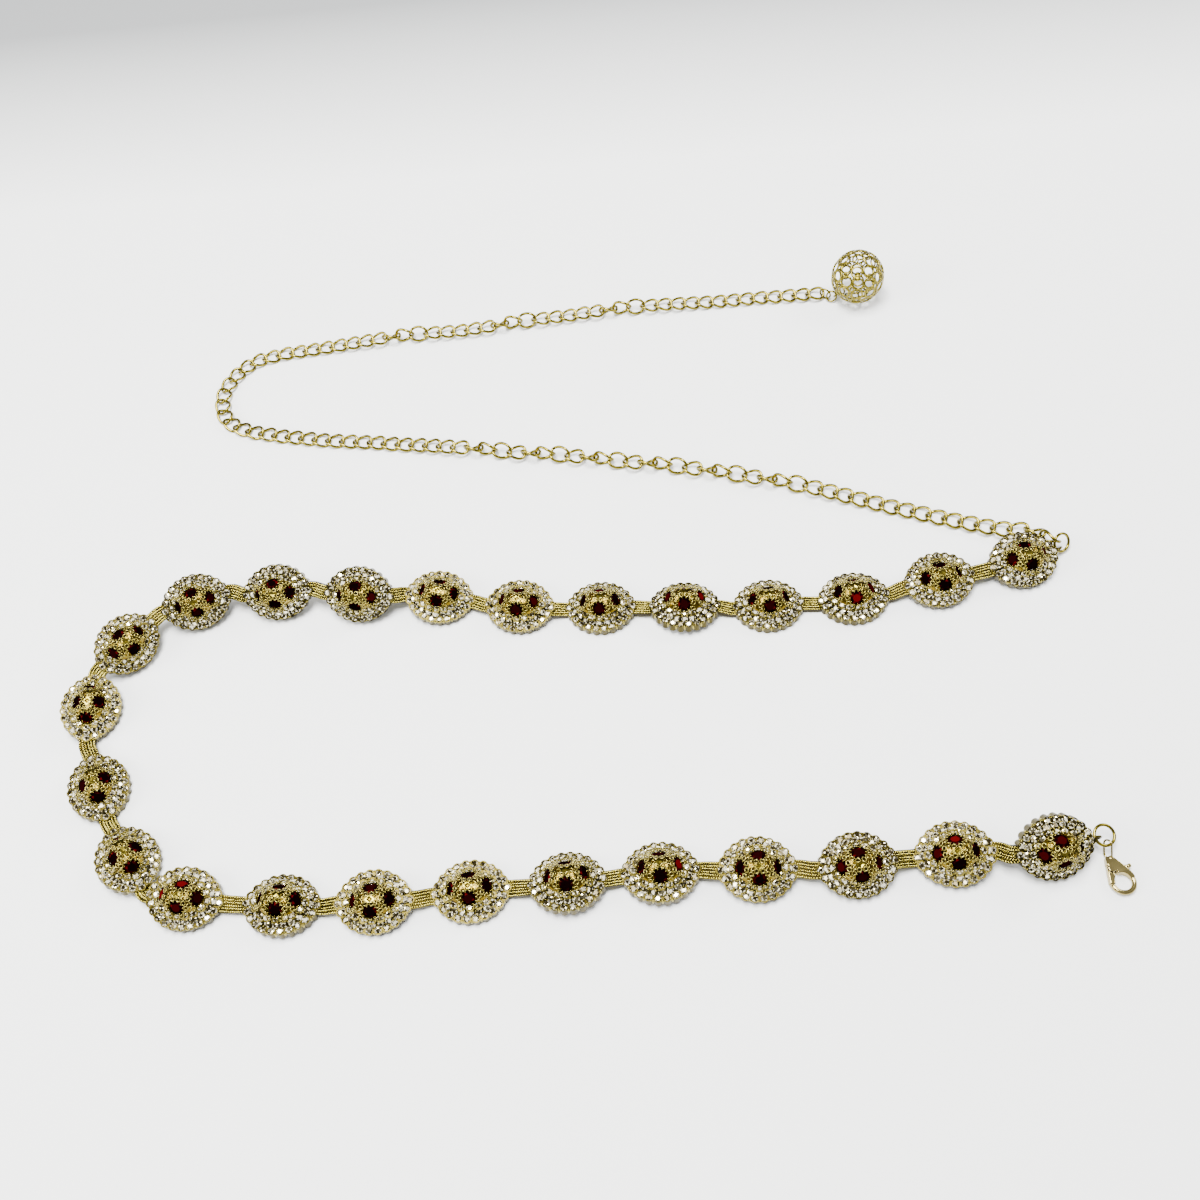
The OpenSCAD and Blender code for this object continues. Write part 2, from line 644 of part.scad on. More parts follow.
union() {  // medallion_01
    color("Khaki") lay(0) first_medallion();
}
for (k = [1 : MEDALLIONS - 2]) {
    union() {
        color("Khaki") lay(k) medallion(false, false);
    }
}
union() {  // medallion_25
    color("Khaki") lay(MEDALLIONS - 1) last_medallion();
}
union() {
    color("Gold") woven_strap();
}
union() {  // garnets_back_row
    color("DarkRed") garnets(0, 12);
}
union() {  // garnets_front_row
    color("DarkRed") garnets(13, MEDALLIONS - 1);
}
union() {  // curb_chain_lower
    color("Silver") links(0, floor(LINKS / 2));
}
union() {  // curb_chain_upper
    color("LightGray") links(floor(LINKS / 2) + 1, LINKS - 1);
}
union() {
    color("Goldenrod") far_jump_ring();
}
union() {
    color("Goldenrod") near_jump_ring();
}
union() {
    color("Wheat") clasp_eye();
    color("Wheat") clasp_frame() clasp_body();
}
union() {
    color("Orange") clasp_frame() clasp_lever();
}
union() {
    color("Goldenrod") chain_end_ring();
}
union() {
    color("Peru") ball_ring();
}
union() {
    color("Gold") filigree_ball();
}
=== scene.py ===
"""Looks of the waist chain: medallions with stones, braided strap, curb chain, clasp and ball."""

import math

import bmesh
import bpy
import numpy as np
from mathutils import Matrix, Vector


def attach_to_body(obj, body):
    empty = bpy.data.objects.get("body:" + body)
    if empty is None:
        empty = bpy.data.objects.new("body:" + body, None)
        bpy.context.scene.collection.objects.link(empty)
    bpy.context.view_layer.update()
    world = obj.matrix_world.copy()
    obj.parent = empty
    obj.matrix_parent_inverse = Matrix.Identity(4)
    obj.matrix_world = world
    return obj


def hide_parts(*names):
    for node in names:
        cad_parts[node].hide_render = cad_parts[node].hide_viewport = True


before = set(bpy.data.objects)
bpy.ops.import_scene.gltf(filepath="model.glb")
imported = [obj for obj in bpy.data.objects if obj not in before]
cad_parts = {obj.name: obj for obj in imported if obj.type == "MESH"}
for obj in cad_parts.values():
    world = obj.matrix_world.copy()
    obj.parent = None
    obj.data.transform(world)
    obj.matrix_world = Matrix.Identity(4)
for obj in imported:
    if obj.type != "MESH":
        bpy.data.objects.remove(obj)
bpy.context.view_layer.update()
MM = 0.001
BODY = "chain"
UP = (0, 0, 1)

# Sizes in millimetres, as in the solids.
MED_L, MED_W = 22.0, 17.6
STEP_H, INNER_STEP_H, DOME_H = 2.4, 4.3, 7.4
OUTER_N, INNER_N, OUTER_D = 22, 16, 2.4
OUTER_A, OUTER_B = (MED_L - OUTER_D) / 2, (MED_W - OUTER_D) / 2
INNER_A, INNER_B = OUTER_A - 2.6, OUTER_B - 2.5
GARNET_D, GARNET_H, GARNET_TABLE = 4.1, 1.7, 2.4
STRAP_W, STRAP_T = 4.8, 1.2
STRAP_HOLD = MED_L / 2 - 0.8
LINK_L, LINK_W, LINK_WIRE, LINK_TWIST, LINK_PITCH = 7.1, 5.7, 0.86, 0.75, 4.88
BALL_AT, BALL_R = (116.194, 104.599, 9.2), 9.2

# The garnet cups on a dome: turn round it, distance out, height and tilt.
CUPS = [
    (0, 4.85, DOME_H - 1.4, 52),
    (90, 3.05, DOME_H - 1.0, 44),
    (180, 4.85, DOME_H - 1.4, 52),
    (270, 3.05, DOME_H - 1.0, 44),
]

# How the medallions lie: x, y, heading, lean, nose up.
LAY = [
    (137.5, -17, -172, -16, 0),
    (111.5, -19.5, -177, -13, -2),
    (85.5, -20.5, 178, 1, -1),
    (60, -18.5, 175, -1, 0),
    (35, -15, 171, 7, 0),
    (10, -10.5, 171, -2, -2),
    (-14.5, -6, 166, -8, 0),
    (-39, 1.5, 165, -9, 6),
    (-63, 5.5, 166, -40, 4),
    (-88.5, 11, 176, -39, 0),
    (-114.5, 12, -169, -37, 2),
    (-136, 0.5, -136, -31, -3),
    (-146, -19.5, -93, -13, -6),
    (-141.5, -46, -73, -5, -4),
    (-131, -70, -62, -10, -2),
    (-114, -83.5, -15, 9, -4),
    (-87.5, -89.5, -10, -4, -1),
    (-62, -92.5, -5, 11, -1),
    (-36, -93.5, -3, 2, 0),
    (-10, -95.5, -3, -8, 0),
    (15, -96.5, -4, -5, 0),
    (40.5, -99.5, -7, 13, -2),
    (66.5, -102.5, -1, 19, 0),
    (92.5, -103.5, -4, 12, 5),
    (117, -106, 2, 38, -4),
]

# Route of the curb chain.
ROUTE = [
    (147.7, -11.2), (143.6, -6.8), (134, -3.5), (122, 2.5), (108, 9.5), (95, 16), (81, 23),
    (66, 29.5), (52, 35), (37, 40.5), (22, 45), (6, 50.5), (-9, 54.5), (-25, 59.5),
    (-41, 64.5), (-58, 69.5), (-74, 73.5), (-91, 79), (-100, 82.5), (-106, 86),
    (-109.5, 90), (-111, 95), (-111, 101), (-109, 107), (-105, 112.5), (-99, 116),
    (-91, 117.5), (-80, 117.5), (-64, 117), (-48, 116.5), (-32, 115.5), (-16, 114.5),
    (0, 114.5), (16, 114.5), (33, 113.5), (50, 112.5), (67, 111), (84, 109.5), (102, 107),
]
# The chain turns over between these links, a part of the turn at each one.
TWISTS = [(15, 39), (72, 76), (80, 84), (88, 92)]
TWIST_STEP = -45
FIRST_ROLLS = (75, 40)
# Heights of the first and last link, how fast they fall, and how steeply one link lifts the next.
FIRST_H, FIRST_FALL = 4.2, 0.8
LAST_H, LAST_FALL = 1.8, 0.2
LIFT_FALL, LIFT_REACH = 0.25, 6

# Circles of small clear stones: half length, half width, count, height and outward tip.
STONE_CIRCLES = (
    (OUTER_A, OUTER_B, OUTER_N, STEP_H + 0.08, 10),
    (OUTER_A - 1.15, OUTER_B - 1.1, OUTER_N - 2, STEP_H + 1.2, 38),
    (INNER_A, INNER_B, INNER_N, INNER_STEP_H + 0.2, 13),
)
# Small cast and bent parts of a medallion, in the scene only: half axes, places and wires.
PRONG, PRONG_OUT, PRONG_DROP, PRONG_TIP = (0.2, 0.24, 0.42), 1.06, 0.02, -25
RIM_BAR, RIM_BAR_H, RIM_BAR_OUT = (0.34, 0.5, 1.15), 1.35, 0.72
GARNET_LIFT = 0.16
LACE_N, LACE_R, LACE_WIRE, LACE_OUT, LACE_H, LACE_TIP = 11, 0.6, 0.34, 2.92, 0.12, 14
CLAW, CLAW_OUT, CLAW_H, CLAW_TIP = (0.34, 0.17, 0.15), 2.12, 0.08, 22
SQUARE_HALF, SQUARE_H, SQUARE_SINK = 0.95, 0.3, 0.12
HOLLOW_HALF, HOLLOW_FLOOR = 0.62, 0.08
LOOP_R, LOOP_WIRE, LOOP_LIFT = 0.5, 0.3, 0.06
LOOPS = ((1.65, 0.55, 4), (1.65, -0.55, 4), (2.85, 0.0, 14))
SKIN_R, SKIN_HALF, SKIN_DROP, SKIN_LOW_ANGLE = 4.43, 1.8, 4.4, 8
SKIN_ROWS, SKIN_AROUND = 9, 36

# The braid: one stitch, the rows across, the steps along one gap, and the slant of a stitch.
STITCH, BRAID_ROWS, BRAID_STEPS, STITCH_SLANT = (0.52, 0.24, 0.24), 6, 11, 40
STRAP_LIFT, STITCH_LIFT = 0.15, 0.02
LINK_EXTRA = 0.04

# The ball's wire rings: height as an angle, count, part of a step turned, radius and wire.
THICK, THIN = 0.66, 0.54
BALL_RINGS = [(lat, n, 0.5, 1.84, THICK) for lat, n in ((-52, 8), (-26.5, 12), (0, 12), (26.5, 12), (52, 8))]
BALL_RINGS += [(-39.5, 10, 0.0, 0.8, THIN), (-13.25, 12, 0.0, 0.98, THIN)]
BALL_RINGS += [(13.25, 12, 0.0, 0.98, THIN), (39.5, 10, 0.0, 0.8, THIN)]
BALL_RINGS += [(lat, 4, 0.0, 1.3, THIN) for lat in (-75, 75)]
BALL_RINGS += [(lat, 1, 0.0, 1.2, THIN) for lat in (-90, 90)]
BALL_LOOP_AT, BALL_LOOP_R, BALL_LOOP_WIRE = (109.029, 104.01, 2.613), 0.9, 0.5
BALL_LOOP_SPIN, BALL_LOOP_TIP = 122, 64

# The camera as fitted to the photo, in metres, degrees and pixels.
CAMERA_AT = (0.010, -0.211, 0.3203)
CAMERA_DOWN, CAMERA_ROLL = 57.43, -8.63
FOCAL_PX, HALF_FRAME_PX = 1233.3, 600

# The floor in millimetres; its painted shade, a fade to a darker tone far back, starts so many metres back
# and is done in 1 / FADE_RATE more.
FLOOR_HALF = 2500
FLOOR_NEAR, FLOOR_SHADE_FAR = (0.8, 0.805, 0.79), (0.24, 0.245, 0.245)
FADE_START, FADE_SLANT, FADE_RATE = 0.2, 0.1, 8.0
SKY_COLOR, SKY_STRENGTH = (0.97, 0.98, 1.0, 1), 0.6


def unit(v):
    """The same direction with length 1."""
    v = np.asarray(v, float)
    return v / np.linalg.norm(v)


def turn(axis, degrees):
    """A turn round one axis."""
    return Matrix.Rotation(math.radians(degrees), 4, axis)


def shift(x, y, z):
    """A move without a turn."""
    return Matrix.Translation((x, y, z))


def eye_spot(a, b, n, i):
    """Collet i of n on a pointed oval of half length a and half width b."""
    r = (a * a + b * b) / (2 * b)
    half = math.asin(a / r)
    side = 1 if i < n / 2 else -1
    t = -half + 4 * half * (i % (n // 2)) / n
    return side * r * math.sin(t), side * (r * math.cos(t) + b - r)


def low_edge(lean, nose):
    """How far a medallion's middle is lifted so that its lowest collet touches the floor."""
    lean, nose = math.radians(lean), math.radians(nose)
    spots = [eye_spot(OUTER_A, OUTER_B, OUTER_N, i) for i in range(OUTER_N)]
    low = max(-x * math.sin(nose) - y * math.sin(lean) * math.cos(nose) for x, y in spots)
    return low + OUTER_D / 2 * math.sqrt(1 - (math.cos(lean) * math.cos(nose)) ** 2)


def medallion_frame(x, y, heading, lean, nose):
    """The place of one medallion, from its row in the lay."""
    return shift(x, y, low_edge(lean, nose)) @ (turn("Z", heading) @ turn("X", lean) @ turn("Y", -nose))


PLACES = [medallion_frame(*row) for row in LAY]


def cup_frame(k, cup):
    """The place of one garnet cup on medallion k."""
    spin, out, height, tilt = cup
    return PLACES[k] @ turn("Z", spin) @ shift(out, 0, height) @ turn("Y", tilt)


def show(name, data):
    """A new object in the scene, at the origin."""
    o = bpy.data.objects.new(name, data)
    bpy.context.scene.collection.objects.link(o)
    return o


def settle(o):
    """Makes the result of an object's modifiers its plain mesh."""
    bpy.context.view_layer.update()
    made = bpy.data.meshes.new_from_object(o.evaluated_get(bpy.context.evaluated_depsgraph_get()))
    o.modifiers.clear()
    o.data = made


class Shape:
    """Collects vertices in millimetres and faces, and makes one mesh object of them."""

    def __init__(self):
        self.verts = []
        self.faces = []

    def add(self, verts, faces, place=None):
        """Adds vertices and faces, moved to a place where one is given."""
        n = len(self.verts)
        if place is not None:
            verts = [tuple(place @ Vector(v)) for v in verts]
        self.verts += [tuple(v) for v in verts]
        self.faces += [tuple(n + i for i in f) for f in faces]
        return self

    def tube(self, points, radius, sides, place=None):
        """A round wire closed into a loop; its sections stand on the direction of travel."""
        p = np.asarray(points, float)
        n = len(p)
        verts = []
        for i in range(n):
            d = unit(p[(i + 1) % n] - p[i - 1])
            out = unit(np.cross(d, UP))
            top = np.cross(out, d)
            for j in range(sides):
                a = 2 * math.pi * j / sides
                verts.append(p[i] + radius * (out * math.cos(a) + top * math.sin(a)))
        faces = []
        for i in range(n):
            for j in range(sides):
                a, b = i * sides + j, i * sides + (j + 1) % sides
                c, e = (a + sides) % (n * sides), (b + sides) % (n * sides)
                faces.append((a, c, e, b))
        return self.add(verts, faces, place)

    def ring(self, radius, wire, place, steps, sides):
        """A flat ring of round wire."""
        turns = np.linspace(0, 2 * math.pi, steps, endpoint=False)
        points = [(radius * math.cos(t), radius * math.sin(t), 0) for t in turns]
        return self.tube(points, wire / 2, sides, place)

    def bead(self, halves, rows, place=None, around=6):
        """A faceted ellipsoid with the given half axes."""
        a, b, c = halves
        verts = [(0, 0, -c)]
        for r in range(1, rows):
            q = math.pi * r / rows
            for i in range(around):
                t = 2 * math.pi * i / around
                x, y = a * math.sin(q) * math.cos(t), b * math.sin(q) * math.sin(t)
                verts.append((x, y, -c * math.cos(q)))
        verts.append((0, 0, c))
        last = len(verts) - 1
        faces = []
        for i in range(around):
            j = (i + 1) % around
            faces.append((0, 1 + j, 1 + i))
            for r in range(rows - 2):
                s = 1 + r * around
                faces.append((s + i, s + j, s + around + j, s + around + i))
            s = 1 + (rows - 2) * around
            faces.append((s + i, s + j, last))
        return self.add(verts, faces, place)

    def make(self, name, smooth=True):
        """The mesh object, in metres."""
        mesh = bpy.data.meshes.new(name)
        mesh.from_pydata([tuple(MM * c for c in v) for v in self.verts], [], self.faces)
        mesh.validate()
        mesh.polygons.foreach_set("use_smooth", [smooth] * len(mesh.polygons))
        mesh.update()
        return show(name, mesh)


class Value:
    """An output of a shader node; sums and products of it make Math nodes."""

    def __init__(self, graph, socket):
        self.graph = graph
        self.socket = socket

    def math(self, operation, other, swap=False):
        """A Math node on this value and another; swap puts the other one first."""
        pair = (other, self) if swap else (self, other)
        return self.graph.node("ShaderNodeMath", {0: pair[0], 1: pair[1]}, operation=operation)

    def __add__(self, other):
        return self.math("ADD", other)

    def __sub__(self, other):
        return self.math("SUBTRACT", other)

    def __rsub__(self, other):
        return self.math("SUBTRACT", other, swap=True)

    def __mul__(self, other):
        return self.math("MULTIPLY", other)

    __radd__ = __add__
    __rmul__ = __mul__

    def over(self, limit):
        """1 where the value is over the limit, otherwise 0."""
        return self.math("GREATER_THAN", limit)

    def clamped(self):
        """The value held between 0 and 1."""
        return self.math("MAXIMUM", 0.0).math("MINIMUM", 1.0)


class Finish:
    """A material with one Principled shader, and a method that adds any other node."""

    def __init__(self, name, **fixed):
        self.material = bpy.data.materials.new(name)
        self.material.use_nodes = True
        self.tree = self.material.node_tree
        self.shader = self.tree.nodes["Principled BSDF"]
        for key, value in fixed.items():
            self.set(key.replace("_", " "), value)

    def put(self, socket, value):
        """Links a value to a socket, or sets a plain number or colour on it."""
        if isinstance(value, Value):
            self.tree.links.new(value.socket, socket)
        else:
            socket.default_value = value

    def set(self, name, value):
        """Sets or links one of the shader's own sockets."""
        self.put(self.shader.inputs[name], value)

    def node(self, kind, inputs=None, out=0, **settings):
        """Any node: its settings first, then its sockets."""
        made = self.tree.nodes.new(kind)
        for key, value in settings.items():
            setattr(made, key, value)
        for key, value in (inputs or {}).items():
            self.put(made.inputs[key], value)
        return Value(self, made.outputs[out])

    def place(self):
        """The place on the object, in metres."""
        return self.node("ShaderNodeTexCoord", out="Object")

    def noise(self, scale, detail=2.0):
        """Cloudy noise from 0 to 1."""
        return self.node("ShaderNodeTexNoise", {"Vector": self.place(), "Scale": scale, "Detail": detail})

    def mix(self, factor, dark, light):
        """A colour between two, by a factor."""
        ends = {0: factor, 6: (*dark, 1), 7: (*light, 1)}
        return self.node("ShaderNodeMix", ends, out=2, data_type="RGBA")

    def by_facet(self, seed):
        """A random value from 0 to 1 that is constant over each flat facet."""
        normal = self.node("ShaderNodeNewGeometry", out="True Normal")
        moved = self.node("ShaderNodeVectorMath", {0: normal, 1: (0.01, 0.01, 0.01)}, operation="SNAP")
        return self.node("ShaderNodeTexWhiteNoise", {"Vector": moved, "W": seed}, noise_dimensions="4D")


def gilt(name, dark, light, rough, grain=900.0):
    """Thin gold plating from a dark to a light tone, with fine marks; grain is marks per metre."""
    f = Finish(name, Metallic=1.0)
    f.set("Base Color", f.mix(f.noise(grain / 3), dark, light))
    f.set("Roughness", f.noise(grain) * 0.16 + (rough - 0.06))
    marks = {"Height": f.noise(grain * 2, 3.0), "Strength": 0.08, "Distance": 0.00003}
    f.set("Normal", f.node("ShaderNodeBump", marks))
    return f.material


def clear_stone():
    """Foil-backed clear stones: each facet is painted its own white, grey or dark reflection, and the
    brightest facets glow white as painted glints.
    """
    f = Finish("clear_stone", Metallic=0.8, Emission_Strength=0.9)
    value = f.by_facet(3.0)
    # Painted reflections: random facets are painted bright, grey or dark.
    tone_and_painted_glint = value.over(0.45) * 0.12 + value.over(0.68) * 0.88
    f.set("Base Color", f.mix(tone_and_painted_glint, (0.03, 0.022, 0.005), (0.92, 0.84, 0.54)))
    f.set("Roughness", value * 0.12 + 0.03)
    # Painted glints: the brightest facets glow white though no lamp is there.
    f.set("Emission Color", f.mix(value.over(0.72), (0.0, 0.0, 0.0), (1.0, 0.97, 0.86)))
    return f.material


def red_stone():
    """Dark garnet-red stones: nearly black, with a few redder facets that are partly the stone's own red and
    partly painted glints.
    """
    f = Finish("dark_red_stone", Specular_IOR_Level=0.0)
    value = f.by_facet(11.0)
    # The redder facets: the stone's own red, and painted glints on the rarest, reddest ones.
    tone_and_painted_glint = value.over(0.6) * 0.1 + value.over(0.8) * 0.2 + value.over(0.93) * 0.7
    f.set("Base Color", f.mix(tone_and_painted_glint, (0.0015, 0.0003, 0.0004), (0.05, 0.0015, 0.002)))
    f.set("Roughness", value * 0.08 + 0.03)
    return f.material


PALE = gilt("pale_gilding", (0.06, 0.044, 0.006), (0.62, 0.5, 0.2), 0.14, grain=300.0)
# The medallion solid's gold is painted nearly black: painted shade between and under the stones.
BODY_GILT_PAINTED_SHADE = gilt("gilding_painted_shade", (0.012, 0.009, 0.001), (0.09, 0.07, 0.012), 0.3)
YELLOW = gilt("yellow_gilding", (0.08, 0.062, 0.004), (0.32, 0.26, 0.035), 0.14)
DOME = gilt("dome_gilding", (0.02, 0.012, 0.001), (0.22, 0.145, 0.01), 0.14, grain=400.0)
BRAID = gilt("braided_wire", (0.13, 0.108, 0.012), (0.58, 0.49, 0.11), 0.12)
# The strap's solid core is painted nearly black: painted shade in the gaps between the stitches.
CORE_PAINTED_SHADE = gilt("strap_core_painted_shade", (0.008, 0.006, 0.001), (0.03, 0.022, 0.004), 0.4)
CHAIN = gilt("chain_gilding", (0.08, 0.062, 0.005), (0.3, 0.24, 0.03), 0.14)
LACE = gilt("lace_gilding", (0.1, 0.08, 0.01), (0.42, 0.35, 0.09), 0.14)
CLEAR = clear_stone()
RED = red_stone()
# Finish of each CAD node by the start of its name; rings have the chain's, the clasp the pale one.
SOLID_FINISHES = {
    # painted shade: the medallion body's gold is made nearly black
    "medallion": BODY_GILT_PAINTED_SHADE,
    # painted shade: the strap core is made nearly black between the stitches
    "woven_strap": CORE_PAINTED_SHADE,
    "filigree_ball": YELLOW,
    "curb_chain": CHAIN,
    "garnets": RED,
}


def scatter_group():
    """Puts one piece on each point, turned by the point's own angles and a small seeded change."""
    group = bpy.data.node_groups.new("scatter_pieces", "GeometryNodeTree")
    kinds = {"Points": "Geometry", "Piece": "Object", "Finish": "Material", "Tilt": "Float", "Seed": "Int"}
    for name, kind in kinds.items():
        group.interface.new_socket(name, in_out="INPUT", socket_type="NodeSocket" + kind)
    group.interface.new_socket("Geometry", in_out="OUTPUT", socket_type="NodeSocketGeometry")
    new, link = group.nodes.new, group.links.new
    start, end = new("NodeGroupInput"), new("NodeGroupOutput")
    piece = new("GeometryNodeObjectInfo")
    angles = new("GeometryNodeInputNamedAttribute")
    angles.data_type = "FLOAT_VECTOR"
    angles.inputs["Name"].default_value = "angles"
    change = new("FunctionNodeRandomValue")
    change.data_type = "FLOAT_VECTOR"
    change.inputs[0].default_value = (-1, -1, -1)
    change.inputs[1].default_value = (1, 1, 1)
    scaled = new("ShaderNodeVectorMath")
    scaled.operation = "SCALE"
    total = new("ShaderNodeVectorMath")
    total.operation = "ADD"
    to_turn = new("FunctionNodeEulerToRotation")
    put = new("GeometryNodeInstanceOnPoints")
    real = new("GeometryNodeRealizeInstances")
    paint = new("GeometryNodeSetMaterial")
    link(start.outputs["Piece"], piece.inputs["Object"])
    link(start.outputs["Seed"], change.inputs["Seed"])
    link(change.outputs[0], scaled.inputs[0])
    link(start.outputs["Tilt"], scaled.inputs["Scale"])
    link(angles.outputs[0], total.inputs[0])
    link(scaled.outputs[0], total.inputs[1])
    link(total.outputs[0], to_turn.inputs[0])
    link(start.outputs["Points"], put.inputs["Points"])
    link(piece.outputs["Geometry"], put.inputs["Instance"])
    link(to_turn.outputs[0], put.inputs["Rotation"])
    link(put.outputs[0], real.inputs[0])
    link(real.outputs[0], paint.inputs["Geometry"])
    link(start.outputs["Finish"], paint.inputs["Material"])
    link(paint.outputs[0], end.inputs[0])
    return group


SCATTER = scatter_group()


def scatter(name, places, piece, finish, tilt=0.0, seed=1):
    """One mesh object with a copy of piece at each place (4x4 matrices in millimetres)."""
    mesh = bpy.data.meshes.new(name)
    mesh.from_pydata([tuple(MM * c for c in m.translation) for m in places], [], [])
    turns = mesh.attributes.new("angles", "FLOAT_VECTOR", "POINT")
    turns.data.foreach_set("vector", [c for m in places for c in m.to_euler("XYZ")])
    o = show(name, mesh)
    copies = o.modifiers.new("scatter", "NODES")
    copies.node_group = SCATTER
    given = {"Piece": piece, "Finish": finish, "Tilt": tilt, "Seed": seed}
    for item in SCATTER.interface.items_tree:
        if item.in_out == "INPUT" and item.name in given:
            copies[item.identifier] = given[item.name]
    settle(o)
    bpy.data.objects.remove(piece)
    return o


def attach(o, slot, *stands_for, body=BODY):
    """The body that a piece rides on, and the solids it stands for; slot is not used."""
    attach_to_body(o, body)
    if stands_for:
        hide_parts(*stands_for)


def cut_stone(name, across, deep, table, sides):
    """A round cut stone, its table on top, with star, kite and girdle facets and a pavilion."""
    def circle(z, r, part):
        turns = [(i + part) * 2 * math.pi / sides for i in range(sides)]
        return [(r * math.cos(t), r * math.sin(t), z) for t in turns]

    top, girdle, tip = 0.1, 0.1 - 0.35 * deep, 0.2 - deep
    table_ring = circle(top, table / 2, 0.0)
    kite_ring = circle((top + girdle) / 2 + 0.04 * deep, (table + across) / 4 + 0.02 * across, 0.5)
    edge = []
    for i in range(sides):
        for part in (0.0, 0.5):
            a = (i + part) * 2 * math.pi / sides
            edge.append((across / 2 * math.cos(a), across / 2 * math.sin(a), girdle))
    n = sides
    faces = [tuple(range(n))]
    for i in range(n):
        j = (i + 1) % n
        corner, middle, after = 2 * n + 2 * i, 2 * n + 2 * i + 1, 2 * n + (2 * i + 2) % (2 * n)
        faces.append((i, n + i, j))
        faces.append((n + i, corner, middle))
        faces.append((n + i, middle, after))
        faces.append((i, corner, n + i))
        faces.append((j, n + i, after))
    for i in range(2 * n):
        faces.append((2 * n + (i + 1) % (2 * n), 2 * n + i, 4 * n))
    return Shape().add(table_ring + kite_ring + edge + [(0, 0, tip)], faces).make(name, smooth=False)


def stone_places(rows):
    """Where the small clear stones sit: on both steps and on the slope between them."""
    spots = []
    for k in rows:
        for a, b, n, height, tip in STONE_CIRCLES:
            for i in range(n):
                x, y = eye_spot(a, b, n, i)
                slope = math.degrees(math.atan2(y, x))
                spots.append(PLACES[k] @ (shift(x, y, height) @ turn("Z", slope) @ turn("Y", tip)))
    return spots


def four_prongs():
    """Four small claws that hold one clear stone."""
    s = Shape()
    for spin in (45, 135, 225, 315):
        s.bead(PRONG, 3, turn("Z", spin) @ shift(PRONG_OUT, 0, -PRONG_DROP) @ turn("Y", PRONG_TIP))
    return s.make("four_prongs")


def rim_places(rows):
    """Between every two collets of the outer row, at the rim."""
    spots = []
    for k in rows:
        for i in range(OUTER_N):
            x, y = eye_spot(OUTER_A, OUTER_B, OUTER_N, i)
            p, q = eye_spot(OUTER_A, OUTER_B, OUTER_N, (i + 1) % OUTER_N)
            mid = Vector(((x + p) / 2, (y + q) / 2, RIM_BAR_H))
            out = Vector((y - q, p - x, 0)).normalized()
            if out.dot(mid) < 0:
                out = -out
            spin = turn("Z", math.degrees(math.atan2(out.y, out.x)))
            spots.append(PLACES[k] @ (Matrix.Translation(mid + RIM_BAR_OUT * out) @ spin))
    return spots


def lace_collar():
    """The pierced collar round a garnet: little wire loops, and claws over the stone."""
    s = Shape()
    for i in range(LACE_N):
        spin = turn("Z", i * 360 / LACE_N)
        s.ring(LACE_R, LACE_WIRE, spin @ shift(LACE_OUT, 0, LACE_H) @ turn("Y", LACE_TIP), 10, 5)
        s.bead(CLAW, 3, spin @ shift(CLAW_OUT, 0, CLAW_H) @ turn("Y", CLAW_TIP))
    return s.make("lace_collar")


def stone_rows():
    """Clear stones, claws, rim bars, garnets and collars, apart for the back and the front row."""
    for row, ks in (("back", range(13)), ("front", range(13, 25))):
        seats = stone_places(ks)
        stone = cut_stone("clear_stone_piece", 1.96, 1.0, 0.95, 7)
        attach(scatter(f"clear_stones_{row}", seats, stone, CLEAR, 0.22, 5), "medallion_gilt")
        attach(scatter(f"stone_prongs_{row}", seats, four_prongs(), LACE, 0.1, 9), "medallion_gilt")
        bar = Shape().bead(RIM_BAR, 5).make("rim_bar")
        attach(scatter(f"rim_bars_{row}", rim_places(ks), bar, LACE, 0.06, 3), "medallion_gilt")
        cups = [cup_frame(k, cup) @ shift(0, 0, GARNET_LIFT) for k in ks for cup in CUPS]
        stone = cut_stone("garnet_piece", GARNET_D, GARNET_H, GARNET_TABLE, 8)
        attach(scatter(f"cut_garnets_{row}", cups, stone, RED, 0.03, 2), "garnet", f"garnets_{row}_row")
        attach(scatter(f"lace_collars_{row}", cups, lace_collar(), LACE, 0.02, 4), "medallion_gilt")


def dome_tops():
    """The small hollowed square on the top of each dome, and the wire loops on both sides of it."""
    def square(half, z):
        return [(-half, -half, z), (half, -half, z), (half, half, z), (-half, half, z)]

    verts = square(SQUARE_HALF, 0) + square(SQUARE_HALF, SQUARE_H) + square(HOLLOW_HALF, SQUARE_H)
    faces = [(3, 2, 1, 0)]
    for i in range(4):
        j = (i + 1) % 4
        faces += [(i, j, 4 + j, 4 + i), (4 + i, 4 + j, 8 + j, 8 + i), (8 + i, 8 + j, 12)]
    piece = Shape().add(verts + [(0, 0, HOLLOW_FLOOR)], faces).make("dome_square", smooth=False)
    places = [p @ shift(0, 0, DOME_H - SQUARE_SINK) @ turn("Z", 45) for p in PLACES]
    attach(scatter("dome_squares", places, piece, YELLOW), "medallion_gilt")
    loops = Shape()
    for side in (-1, 1):
        for x, y, tip in LOOPS:
            place = shift(side * x, y, DOME_H + LOOP_LIFT) @ turn("Y", side * tip)
            loops.ring(LOOP_R, LOOP_WIRE, place, 10, 5)
    attach(scatter("dome_loops", PLACES, loops.make("dome_loop"), LACE), "medallion_gilt")


